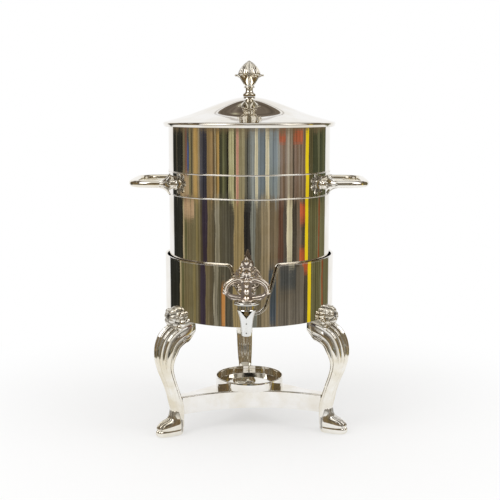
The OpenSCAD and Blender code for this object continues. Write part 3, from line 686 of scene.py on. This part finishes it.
# ---------------------------------------------------------------- key
# The pierced key, cast in one with its tapered plug: a plate with two windows, broad
# arms and rails round them, leaves in tiers up to a crown leaf, and knobs beside it.
# the key's dark brown is painted shade, on the plate behind the openwork
key_silver = mirror_silver("key_silver", (0.94, 0.87, 0.81), (0.10, 0.22), 0.0002, 60.0, 60.0, 0.14,
                           (0.13, 0.085, 0.055))
plate_curve = bpy.data.curves.new("key_plate", "CURVE")
plate_curve.dimensions = "2D"
plate_curve.fill_mode = "BOTH"
plate_curve.extrude = 0.0010
plate_curve.bevel_depth = 0.0004
plate_curve.bevel_resolution = 2
half_outline = [
    (5.5, 197.6), (13, 197.0), (18, 197.4), (21, 199.4), (24.4, 203), (27, 204.0), (28.8, 207),
    (28.4, 210.5), (27.4, 213), (28.4, 215.6), (25.4, 218.6), (21.5, 221.6), (17, 224.2), (13.6, 225.4),
    (12.4, 227.5), (13.2, 231.5), (11.2, 234.4), (8.6, 235.4), (8.2, 237.6), (6.6, 239.2), (6.6, 241.9),
    (4.6, 243.0), (3.9, 245.4), (2.2, 248.4), (0, 250.3)]
outline = half_outline + [(-x, z) for x, z in reversed(half_outline[:-1])]
window = [(6.6, 203.6), (9, 202.8), (15, 203.2), (19.8, 204.4), (22.4, 207.0), (22.6, 210.6), (20.6, 214.0),
          (16.6, 216.8), (11.4, 218.2), (7.4, 217.6), (5.8, 213), (5.6, 208)]
for points in (outline, window, [(-x, z) for x, z in window]):
    spline = plate_curve.splines.new("POLY")
    spline.points.add(len(points) - 1)
    for p, (x, z) in zip(spline.points, points):
        p.co = (x * 0.001, z * 0.001, 0, 1)
    spline.use_cyclic_u = True
plate = bpy.data.objects.new("plate", plate_curve)
bpy.context.collection.objects.link(plate)
pick(plate)
bpy.ops.object.convert(target="MESH")
plate = bpy.context.object
set_at(plate, (0, plug_y, 0), level)
# the plate behind the openwork painted dark brown and dull, as shade
mark(plate, 0.85)
key_parts = [plate]


def key_leaf(x, z, lean, long, wide, thick):
    """A raised leaf on the key, in mm: a pointed drop with a vein, its foot at x, z."""
    c, s = math.cos(math.radians(lean)), math.sin(math.radians(lean))

    def point(t, a):
        w = wide * 0.5 * max(0.03, math.sin(math.pi * t ** 0.8)) * (1 - 0.25 * t)
        h = thick * max(0.05, math.sin(math.pi * min(1, 0.12 + 0.88 * t)) ** 0.7)
        vein = 0.35 * h * math.exp(-(math.cos(a) / 0.3) ** 2) * (math.sin(a) > 0)
        u, v = w * math.cos(a), h * math.sin(a) - vein
        px, pz = x + long * t * s + u * c, z + long * t * c - u * s
        return (0.001 * px, plug_y - 0.0012 - 0.001 * v, 0.001 * pz), 0.0
    return loft("leaf", shares(14), 14, point)


def key_scroll(points, wide, lift, taper=0.5):
    """A bead that follows a curved line on the key: lift is how far it stands up for its width."""
    path = [mathutils.Vector((x * 0.001, plug_y, z * 0.001)) for x, z in blended(points, 6)]
    count, out, rings = len(path) - 1, mathutils.Vector((0, -1, 0)), []
    for k, p in enumerate(path):
        along = (path[min(k + 1, count)] - path[max(k - 1, 0)]).normalized()
        radius = 0.001 * wide * (taper + (1 - taper) * math.sin(math.pi * k / count) ** 0.6)
        rings.append(bar_ring(p, along.cross(out), out, radius, radius * lift, 12))
    obj = skin("scroll", rings)
    mark(obj)
    return obj


def add_knob(radius, at):
    """A small ball, as cast at the tip of a leaf."""
    half = [(radius * math.cos(b), radius * math.sin(b))
            for b in (-1.25, -0.9, -0.6, -0.3, 0, 0.3, 0.6, 0.9, 1.25)]
    obj = add_lathe("knob", [(0.00001, -radius)] + half + [(0.00001, radius)], 20)
    set_at(obj, at)
    mark(obj)
    return obj


# half width, lift and run of the broad arm, its two edges, two curls, two rails below
# the window, and two tendrils in it
key_lines = (
    (2.5, 1.05, ((6.0, 222.6), (11, 223.4), (17, 221.6), (22.4, 218.0), (25.6, 213.6), (26.4, 208.6),
    (25.4, 205.6))),
    (0.8, 3.2, ((6.4, 219.4), (11.4, 219.9), (16.6, 218.3), (20.8, 215.2), (23.2, 211.0), (22.8, 207.2))),
    (0.7, 3.2, ((14.6, 225.0), (20.4, 222.4), (25.2, 218.8), (28.0, 215.2), (27.6, 211.6))),
    (1.5, 1.6, ((28.0, 215.6), (26.2, 216.4), (25.4, 214.4), (27.4, 213.2))),
    (1.5, 1.7, ((24.0, 208.2), (25.4, 205.4), (28.0, 206.2), (27.8, 209.0), (25.8, 208.8))),
    (1.1, 2.0, ((6.0, 199.9), (11, 200.6), (16, 201.6), (20.0, 202.6), (23.4, 204.8))),
    (1.0, 2.0, ((6.0, 197.9), (11, 198.0), (16, 198.2), (19.8, 199.8))),
    (0.9, 2.0, ((6.4, 203.0), (9.4, 205.2), (10.2, 208.6), (8.2, 211.0))),
    (0.9, 2.0, ((5.6, 212.0), (9.2, 212.6), (10.6, 215.2), (8.2, 217.2))))
# foot's x and z, lean in degrees, length, width and thickness of the leaves in their tiers
side_leaves = (
    (3.0, 226.0, 82, 10.0, 5.2, 2.6), (2.6, 227.2, 60, 11.5, 4.6, 2.8), (2.0, 228.4, 36, 11.0, 4.4, 3.0),
    (7.0, 230.4, 52, 7.4, 4.4, 2.4), (2.4, 234.4, 66, 6.6, 3.6, 2.2), (3.4, 236.6, 34, 6.8, 3.6, 2.2),
    (3.0, 224.4, 150, 7.0, 4.2, 2.4), (12.0, 226.6, 100, 7.6, 3.4, 1.8))
for side in (-1, 1):
    for wide, lift, points in key_lines:
        key_parts.append(key_scroll([(side * x, z) for x, z in points], wide, lift))
    key_parts += [key_leaf(side * x, z, side * lean, *size) for x, z, lean, *size in side_leaves]
    key_parts.append(add_knob(0.0021, (side * 0.0054, plug_y - 0.0012, 0.2409)))
middle_leaves = ((0, 226.0, 0, 12.0, 5.0, 3.2), (0, 219.0, 0, 7.0, 6.0, 2.6), (0, 240.6, 0, 9.9, 7.6, 2.2))
key_parts += [key_leaf(*leaf) for leaf in middle_leaves]
for tie in ([(-8.4, 234.8), (-4, 235.7), (0, 236.0), (4, 235.7), (8.4, 234.8)],
            [(-9.4, 222.4), (-5, 220.6), (0, 219.8), (5, 220.6), (9.4, 222.4)]):
    key_parts.append(key_scroll(tie, 1.1, 2.4, 0.45))
# the plug, its stop disc and the small baluster that the openwork stands on
plug = add_lathe("plug", mm([
    (0.01, 190.0), (2.0, 190.0), (2.0, 176.6), (3.4, 176.6), (3.4, 185.4), (5.7, 185.6), (6.5, 195.5),
    (6.5, 195.9), (10.0, 195.9), (10.5, 196.3), (10.5, 197.3), (10.0, 197.9), (6.2, 198.3), (5.0, 199.2),
    (3.6, 201.0), (3.0, 204.0), (3.2, 206.0), (4.2, 207.2), (4.4, 208.2), (3.2, 209.4), (2.6, 212.0),
    (3.0, 215.0), (4.2, 216.6), (3.6, 218.4), (0.01, 219.0)]), 64)
set_at(plug, (0, plug_y, 0))
mark(plug)
key = join_pieces("spigot_key_openwork", *key_parts, plug)
turn_faces_out(key)
finish_piece(key, key_silver, "spigot_key", "silver_plate", "spigot_key", angle=55)

# ---------------------------------------------------------------- lid
# Spun from one sheet: a nearly straight cone that eases into a low brim and a round
# crown, with a rolled edge. A collar soldered inside drops into the urn's mouth.
lid_r, lid_low, lid_wall, roll_r, roll_z = 0.115, 0.406, 0.0015, 0.0023, 0.40965
# its slope in degrees at radii in mm, from the brim to the crown. The brim's are eased by
# one factor, so that the cone climbs to the crown's height.
brim_ease = 0.9875
brim = ((115.0, 14.4), (105, 15.0), (92, 15.8), (85, 16.6))
slopes = [(r, round(brim_ease * slope, 2)) for r, slope in brim]
slopes += [(79, 18.4), (73, 20.4), (66, 21.2), (54, 21.0), (42, 19.8), (34, 18.4), (26, 16.0), (18, 11.6),
           (10, 6.3), (0, 0.0)]


def lid_slope(r):
    for (r0, s0), (r1, s1) in zip(slopes, slopes[1:]):
        if r >= r1:
            return s1 + (s0 - s1) * (r - r1) / (r0 - r1)


reach, height = 0.1134, 0.41185
outer = [(reach, height)]
while reach > 0.0035:
    step = min(0.0025, reach - 0.003)
    height += step * math.tan(math.radians(lid_slope(1000 * (reach - step / 2))))
    reach -= step
    outer.append((reach, height))
roll = [(lid_r - roll_r * (1 - math.cos(a)), roll_z + roll_r * math.sin(a))
        for a in (-0.3, -0.2, -0.1, 0, 0.12, 0.24, 0.36, 0.5, 0.65, 0.8, 0.95, 1.1, 1.25)]
# the edge leans in a little below
lip = [(lid_r - dr, lid_low + dz) for dr, dz in ((0.0019, 0.0001), (0.0014, 0.0002), (0.0012, 0.0006))]
inside = [(r, h - lid_wall) for r, h in reversed(outer) if 0.0031 < r < lid_r - lid_wall]
inside += [(lid_r - lid_wall, 0.4095), (lid_r - lid_wall, lid_low + 0.0001)]
lid = add_lathe("lid_cover", lip + roll + outer + inside + lip[:1], 288)
finish_piece(lid, sheet_silver, "lid", "silver_plate", "lid_shell", angle=50)
finish_node(tinned, "lid_collar")

# ---------------------------------------------------------------- finial
# Cast and turned: a flared foot and waisted stem, a collar, a cup of six drooping leaves
# whose tips end in small balls, and a bud of upright leaves; a bolt holds it from inside.
finial_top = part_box("finial")[1][2]
foot_z = finial_top - 0.0448
stem = add_lathe("stem", mm([
    (0.1, -2.2), (8.6, -2.2), (8.6, 0.4), (8.3, 1.2), (7.3, 2.0), (6.0, 3.1), (5.1, 4.6), (4.8, 6.2),
    (5.1, 7.7), (6.0, 8.7), (7.2, 9.2), (7.8, 10.0), (7.5, 10.8), (6.0, 11.4), (0.1, 11.6)], foot_z), 96)
mark(stem)
bud_low, bud_r, bud_leaves = foot_z + 0.0217, 0.0149, 10
calyx_low, calyx_leaves = foot_z + 0.0120, 6


def bud_point(t, a):
    widest = 0.24                                                       # how far up the bud, as a share
    taper = max(0.012, 1 - max(0, (t - widest) / (1 - widest)) ** 1.55) ** 0.8
    width = bud_r * taper * (0.86 + 0.14 * min(1, t / widest))
    depth = 0.0018 * math.sin(math.pi * t) ** 0.5 * (1 - 0.5 * t)
    rim = abs(math.cos(0.5 * bud_leaves * a))                           # 1 at a leaf's middle
    gap = math.exp(-(rim / 0.28) ** 2)
    r = width - depth * (gap + 0.3 * math.exp(-((1 - rim) / 0.012) ** 2))
    return (r * math.cos(a), r * math.sin(a), bud_low + (finial_top - bud_low) * t), 0.85 * gap


def calyx_point(row, a):
    t, share, dz, dark = row
    rim = abs(math.cos(0.5 * calyx_leaves * a))
    gap = math.exp(-(rim / 0.2) ** 2)
    r = 0.0060 + 0.0092 * min(1, t * 1.04) ** 0.85 - 0.0011 * gap + 0.0011 * max(0, t - 0.8) / 0.2 * rim
    z = calyx_low + 0.0146 * t - 0.0036 * (1 - rim) * t ** 2 + dz
    return (share * r * math.cos(a), share * r * math.sin(a), z), dark or 0.8 * gap


bud = loft("bud", shares(48), bud_leaves * 18, bud_point)
# at their edge the calyx's leaves turn in over the bud
turned_in = [(1, 0.93, 0.0006, 0.2), (1, 0.80, -0.0012, 1.0)]
calyx = loft("calyx", [(t, 1, 0, 0) for t in shares(24)] + turned_in, 144, calyx_point)
finial_parts = [stem, bud, calyx]
for k in range(6):
    a = math.radians(60 * k)
    c, s = math.cos(a), math.sin(a)
    run = [(r * c, r * s, foot_z + h) for r, h in ((0.0128, 0.0240), (0.0158, 0.0256), (0.0182, 0.0255))]
    finial_parts.append(bar_along("tip", run, [0.0018, 0.0014, 0.0010], 12))
    finial_parts.append(add_knob(0.0016, (0.0178 * c, 0.0178 * s, foot_z + 0.0255)))
finial = join_pieces("finial_bud", *finial_parts)
turn_faces_out(finial)
finish_piece(finial, cast_silver, "lid", "silver_plate", "finial", angle=55)
finish_node(screw_steel, "finial_washer")
finish_node(brass, "finial_nut", "spigot_nut", "plug_nut", "plug_washer")

# ---------------------------------------------------------------- room
# The studio: white behind the pot, and in front of it the dim shop that its
# polished sides mirror, as upright strips of wood, cloth, shelves and metal.
world = bpy.data.worlds.new("shop_and_studio")
bpy.context.scene.world = world
world.use_nodes = True
shop = world.node_tree
shop.nodes.clear()


def calc(op, *terms):
    """One sum on sockets and numbers, of which the first is a socket."""
    return add_node(terms[0].id_data, "Math", dict(enumerate(terms)), operation=op).outputs["Value"]


def smooth(value, low, high):
    """Rises from 0 at low to 1 at high, which may be the lower of the two."""
    sockets = {"Value": value, "From Min": low, "From Max": high}
    return add_node(value.id_data, "MapRange", sockets, interpolation_type="SMOOTHSTEP").outputs["Result"]


def mix_colour(share, a, b):
    return add_node(share.id_data, "Mix", {0: share, 6: a, 7: b}, data_type="RGBA").outputs[2]


def brightened(colour, by):
    return add_node(shop, "VectorMath", {0: colour, "Scale": by}, operation="SCALE").outputs["Vector"]


direction = add_node(shop, "TexCoord").outputs["Generated"]
axes = add_node(shop, "SeparateXYZ", {"Vector": direction})
across, toward, up = axes.outputs["X"], axes.outputs["Y"], axes.outputs["Z"]
# in degrees: from the front, + to the right; from straight behind; and above the horizon
turn = calc("MULTIPLY", calc("ARCTAN2", across, calc("MULTIPLY", toward, -1.0)), 180 / math.pi)
behind = calc("MULTIPLY", calc("ARCTAN2", across, toward), 180 / math.pi)
height = calc("MULTIPLY", calc("ARCSINE", up), 180 / math.pi)


def grain(across_scale, up_scale, detail, rough, shift=0.0):
    """Grain drawn out upwards, for the finer strips inside the broad ones."""
    at = add_node(shop, "CombineXYZ", {"X": calc("MULTIPLY_ADD", turn, across_scale, shift),
                                       "Y": calc("MULTIPLY", height, up_scale)})
    return add_noise(shop, at.outputs["Vector"], 1.0, detail, Roughness=rough)


def strips(angle, low, high, rows):
    """Upright strips from low to high degrees: where each one starts, and its colour."""
    at = calc("MULTIPLY_ADD", angle, 1 / (high - low), -low / (high - low))
    ramp = add_node(shop, "ValToRGB", {"Fac": at})
    ramp.color_ramp.interpolation = "CONSTANT"
    stops = ramp.color_ramp.elements
    stops[0].position, stops[0].color = 0, rows[0][1] + (1,)
    stops[1].position, stops[1].color = 1, rows[-1][1] + (1,)
    for start, colour in rows[1:]:
        stops.new((start - low) / (high - low)).color = colour + (1,)
    return ramp.outputs["Color"]


def patch(room, colour, turn_at, turn_half, height_at, height_half, soft=0.3, angle=turn):
    """A thing of one colour hung in the room, its middle and half size in degrees."""
    dx = calc("ABSOLUTE", calc("ADD", angle, -turn_at))
    dy = calc("ABSOLUTE", calc("ADD", height, -height_at))
    inside = calc("MULTIPLY", smooth(dx, turn_half + soft * 2, turn_half - soft * 2),
                  smooth(dy, height_half + soft, height_half - soft))
    return mix_colour(inside, room, colour)


drift = calc("MULTIPLY_ADD", grain(0.11, 0.55, 2, 0.5), 5.0, -2.5)
wander = calc("ADD", turn, drift)
black, olive, gold = (0.03, 0.03, 0.024), (0.14, 0.13, 0.06), (0.46, 0.30, 0.11)
cream, slate, steel = (0.66, 0.60, 0.42), (0.05, 0.048, 0.062), (0.22, 0.255, 0.27)
brown, moss = (0.21, 0.145, 0.10), (0.065, 0.07, 0.036)
# the shelves at eye level: left half, then right half
eye_left = strips(turn, -142, 0, [
    (-142, black), (-124.4, (0.10, 0.09, 0.065)), (-121.5, black), (-106.4, (0.17, 0.14, 0.08)),
    (-101, (0.19, 0.10, 0.07)), (-97, (0.07, 0.08, 0.08)), (-92.3, (0.26, 0.22, 0.11)),
    (-89, (0.10, 0.085, 0.05)), (-85.6, (0.24, 0.18, 0.09)), (-83.4, gold), (-75.7, (0.30, 0.24, 0.15)),
    (-72.4, (0.09, 0.085, 0.095)), (-67, slate), (-60, (0.30, 0.21, 0.10)), (-54.5, (0.38, 0.26, 0.13)),
    (-50.6, (0.14, 0.10, 0.055)), (-48.2, (0.42, 0.35, 0.22)), (-46.5, (0.16, 0.12, 0.06)), (-45.3, gold),
    (-41.3, (0.07, 0.07, 0.04)), (-36.5, (0.15, 0.15, 0.075)), (-33, (0.08, 0.08, 0.045)),
    (-30, (0.035, 0.032, 0.02)), (-27.3, (0.50, 0.47, 0.27)), (-20.2, (0.13, 0.12, 0.065)),
    (-16.9, (0.70, 0.36, 0.27)), (-13.7, (0.30, 0.26, 0.15)), (-9, (0.34, 0.30, 0.18)),
    (-5.1, (0.16, 0.15, 0.11)), (-1.9, (0.05, 0.05, 0.045))])
eye_right = strips(turn, 0, 142, [
    (0, (0.14, 0.145, 0.13)), (3, (0.27, 0.29, 0.28)), (9, cream), (13, steel), (16, (0.16, 0.19, 0.21)),
    (23.5, cream), (28.5, (0.30, 0.34, 0.34)), (33, steel), (40.5, (0.36, 0.36, 0.32)),
    (44, (0.26, 0.20, 0.16)), (48, brown), (52, (0.30, 0.24, 0.19)), (56, (0.42, 0.37, 0.29)),
    (59, (0.28, 0.22, 0.16)), (64, (0.11, 0.085, 0.06)), (67, (0.29, 0.21, 0.16)), (71, brown),
    (74, (0.31, 0.24, 0.18)), (77, (0.13, 0.09, 0.06)), (79.5, (0.28, 0.20, 0.14)), (83, brown),
    (87, (0.83, 0.62, 0.02)), (93, (0.10, 0.085, 0.04)), (102, moss), (112, (0.14, 0.14, 0.075)),
    (119, moss), (128, (0.12, 0.12, 0.06)), (134, moss)])
right_half = smooth(turn, -0.01, 0.01)
eye = mix_colour(right_half, eye_left, eye_right)
# what hangs there: a blue cloth and two red signs without words
eye = patch(eye, (0.07, 0.10, 0.24), -94.7, 1.5, -3.1, 0.75)
eye = patch(eye, (0.44, 0.12, 0.06), 48, 5, -1.95, 0.28, 0.15)
eye = patch(eye, (0.44, 0.13, 0.065), 73.5, 8.5, -1.95, 0.30, 0.15)
# the counter and the floor lower down: the strips run on, browner, with a few boxes and cloths
low_left = strips(wander, -142, 0, [
    (-142, black), (-108, (0.46, 0.38, 0.22)), (-104.7, olive), (-98, (0.19, 0.155, 0.08)),
    (-88, (0.16, 0.135, 0.07)), (-80, (0.23, 0.185, 0.08)), (-75, (0.18, 0.15, 0.08)),
    (-71.7, (0.07, 0.055, 0.035)), (-67.7, (0.055, 0.04, 0.055)), (-60.2, (0.19, 0.15, 0.08)),
    (-55, (0.15, 0.12, 0.07)), (-49.9, (0.10, 0.085, 0.055)), (-47.5, (0.32, 0.29, 0.21)),
    (-42, (0.14, 0.125, 0.08)), (-38, (0.09, 0.08, 0.055)), (-33, (0.11, 0.10, 0.07)),
    (-26, (0.08, 0.07, 0.05)), (-20.3, (0.33, 0.25, 0.12)), (-6.5, (0.028, 0.026, 0.024))])
low_right = strips(wander, 0, 142, [
    (0, (0.03, 0.028, 0.026)), (3, (0.20, 0.205, 0.175)), (11, (0.15, 0.125, 0.08)),
    (17, (0.27, 0.215, 0.13)), (27, (0.34, 0.27, 0.17)), (30, (0.17, 0.13, 0.08)),
    (42, (0.135, 0.07, 0.045)), (51, (0.12, 0.10, 0.08)), (55, cream), (64, (0.09, 0.075, 0.055)),
    (72, (0.18, 0.14, 0.10)), (80, (0.09, 0.075, 0.055))])
low = mix_colour(right_half, low_left, low_right)
for thing in (
        ((0.50, 0.34, 0.20), -94, 11, -6.0, 0.6), ((0.55, 0.12, 0.05), 82, 5, -6.3, 0.5),
        ((0.50, 0.12, 0.045), 82, 5, -9.3, 0.7), ((0.50, 0.23, 0.07), -34, 2.5, -12.2, 1.4, 0.5),
        ((0.07, 0.085, 0.10), 33, 4.5, -11.5, 1.8, 0.5), ((0.155, 0.135, 0.105), 60, 20, -11.5, 2.1, 0.1),
        ((0.085, 0.088, 0.085), 55, 12, -10.2, 0.8, 0.45)):
    low = patch(low, *thing)
far_right = strips(wander, 90, 142, [
    (90, olive), (112, (0.20, 0.19, 0.10)), (117, (0.30, 0.09, 0.035)), (121, (0.17, 0.16, 0.08))])
low = mix_colour(smooth(turn, 93.4, 93.8), low, far_right)
counter_edge = calc("MULTIPLY_ADD", grain(0.35, 0, 2, 0.5, 9.0), 2.4, height)
room = mix_colour(smooth(counter_edge, -4.0, -4.9), eye, low)
room = patch(room, (0.42, 0.31, 0.18), -102, 10, -4.75, 0.65, 0.1)
# finer strips, a tall yellow post, and a dim brown beam over the shelves
room = brightened(room, map_range(grain(0.55, 0.05, 4, 0.8), 0.32, 0.68, 0.35, 1.55))
room = patch(room, (0.85, 0.64, 0.02), 90.3, 3.1, -5, 16, 0.1)
beam = smooth(calc("MULTIPLY_ADD", grain(0.25, 0.2, 4, 0.7, 4.0), 1.6, height), -0.95, -0.75)
room = mix_colour(calc("MULTIPLY", beam, 0.75), room, (0.17, 0.125, 0.07))
# the ceiling: dark brown with a few bright panels
panels = add_node(shop, "TexVoronoi", {"Vector": direction, "Scale": 3.5}).outputs["Distance"]
ceiling = mix_colour(smooth(panels, 0.30, 0.22), (0.10, 0.075, 0.05), (0.9, 0.86, 0.78))
room = mix_colour(smooth(height, 24, 34), room, ceiling)
# the white sweep behind the pot ends in a grey batten, with dim brown boards above it
far_back = smooth(calc("ABSOLUTE", calc("ADD", turn, -1.5)), 135.5, 139.5)
boards = brightened((0.155, 0.125, 0.095), map_range(grain(0.03, 0.5, 5, 0.7, 2.0), 0.3, 0.7, 0.45, 1.5))
boards = patch(boards, (0.78, 0.74, 0.52), -6.4, 0.4, 38.5, 1.2, 1.0, behind)
batten = calc("MULTIPLY", smooth(height, 30.2, 30.6), smooth(height, 31.6, 31.2))
sweep = mix_colour(batten, (0.97, 0.965, 0.96), (0.60, 0.575, 0.555))
sweep = mix_colour(smooth(height, 32.4, 32.9), sweep, boards)
room = mix_colour(far_back, room, sweep)
# a soft light straight above, and the table top below
room = mix_colour(smooth(height, 56, 64), room, (0.95, 0.93, 0.88))
room = mix_colour(smooth(height, -17, -21), room, (0.93, 0.92, 0.90))
# mirrors see the room, other surfaces plain white light, and the camera a white background
rays = add_node(shop, "LightPath").outputs
mirrored = add_node(shop, "Background", {"Color": room}).outputs["Background"]
plain = add_node(shop, "Background", {"Color": (1, 1, 1), "Strength": 0.75}).outputs["Background"]
white = add_node(shop, "Background", {"Color": (1, 1, 1), "Strength": 1.0}).outputs["Background"]
lit = add_node(shop, "MixShader", {"Fac": rays["Is Glossy Ray"], 1: plain, 2: mirrored}).outputs["Shader"]
seen = add_node(shop, "MixShader", {"Fac": rays["Is Camera Ray"], 1: lit, 2: white}).outputs["Shader"]
add_node(shop, "OutputWorld", {"Surface": seen})

# ---------------------------------------------------------------- table top
# A plain pale table. Past its edge it fades to the white sweep, and mirrors see
# the room instead of it.
bpy.ops.object.select_all(action="DESELECT")
bpy.ops.mesh.primitive_plane_add(size=12, location=(0, 0, 0))
table_top = bpy.context.object
table_top.name = "table_top"
paint = bpy.data.materials.new("pale_table")
paint.use_nodes = True
table_top.data.materials.append(paint)
tree = paint.node_tree
tree.nodes.clear()
place = add_node(tree, "TexCoord").outputs["Object"]
far = add_node(tree, "VectorMath", {0: place}, operation="LENGTH").outputs["Value"]
pale = add_node(tree, "BsdfDiffuse", {"Color": (0.93, 0.925, 0.915)}).outputs["BSDF"]
glow = add_node(tree, "Emission", {"Strength": 1.0}).outputs["Emission"]
faded = calc("MULTIPLY_ADD", smooth(far, 0.16, 0.60), 0.55, 0.45)
top = add_node(tree, "MixShader", {"Fac": faded, 1: pale, 2: glow}).outputs["Shader"]
clear = add_node(tree, "BsdfTransparent").outputs["BSDF"]
gone = calc("MULTIPLY", add_node(tree, "LightPath").outputs["Is Glossy Ray"], smooth(far, 0.41, 0.43))
surface = add_node(tree, "MixShader", {"Fac": gone, 1: top, 2: clear}).outputs["Shader"]
add_node(tree, "OutputMaterial", {"Surface": surface})

# ---------------------------------------------------------------- lamps
# Two soft boxes above, left and right of the camera, aimed at the middle of the pot.
# The left one is the larger and the brighter.
pot_middle = 0.25
for name, at, size, power in (("left_soft_box", (-1.1, -0.9, 1.6), 1.2, 11),
                              ("right_soft_box", (1.3, -0.5, 1.5), 1.0, 7)):
    lamp = bpy.data.lights.new(name, "AREA")
    lamp.shape = "SQUARE"
    lamp.size = size
    lamp.energy = power
    box = bpy.data.objects.new(name, lamp)
    bpy.context.collection.objects.link(box)
    box.location = at
    dx, dy, dz = -at[0], -at[1], pot_middle - at[2]
    box.rotation_euler = (math.atan2(math.hypot(dx, dy), -dz), 0, math.atan2(-dx, dy))

# ---------------------------------------------------------------- camera
# A long lens in front of the pot, a little to its right and above it, that looks down
# at its middle.
camera = bpy.data.cameras.new("front_camera")
camera.lens = 69.9
camera.sensor_width = 36
camera.shift_x = 0.0014
viewer = bpy.data.objects.new("front_camera", camera)
bpy.context.collection.objects.link(viewer)
look_at_z, distance, down, round_by = 0.238, 1.325, math.radians(8.62), math.radians(1.4)
away = distance * math.cos(down)
viewer.location = (away * math.sin(round_by), -away * math.cos(round_by),
                   look_at_z + distance * math.sin(down))
viewer.rotation_euler = (math.pi / 2 - down, 0, round_by)
bpy.context.scene.camera = viewer
bpy.context.scene.view_settings.view_transform = "Standard"
